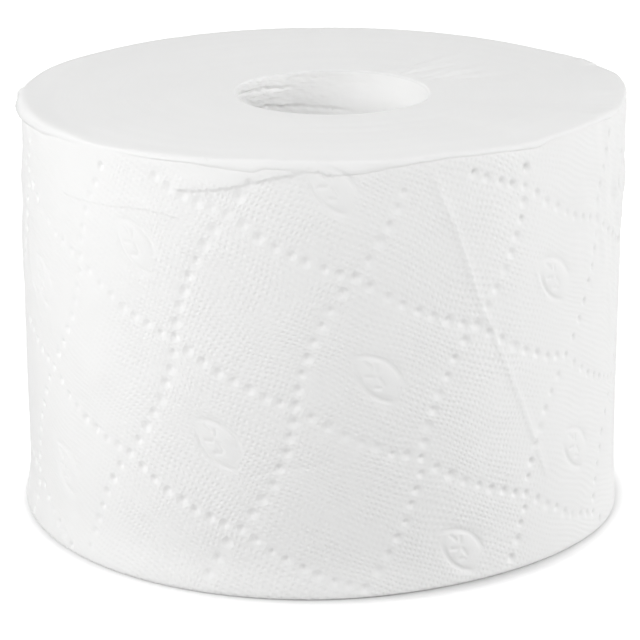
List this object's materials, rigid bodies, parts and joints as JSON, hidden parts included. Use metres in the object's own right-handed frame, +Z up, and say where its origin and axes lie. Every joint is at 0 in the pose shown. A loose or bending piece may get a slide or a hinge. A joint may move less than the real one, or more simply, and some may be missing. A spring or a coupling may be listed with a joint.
{
  "type": "toilet paper roll",
  "caption": "Compact coreless roll of white embossed tissue, wound on itself with an open bore and standing on its end.",
  "frame": {"origin": "middle of the end that the roll stands on", "axes": "+Z up along the roll's axis; -Y is the front of the picture; the tail is at the back (+Y)"},
  "size_m": [0.13, 0.13, 0.09],
  "materials": {
    "tissue": "matte, soft embossed two-ply tissue"
  },
  "bodies": {
    "root": {"paper_roll": "tissue"}
  },
  "joints": []
}
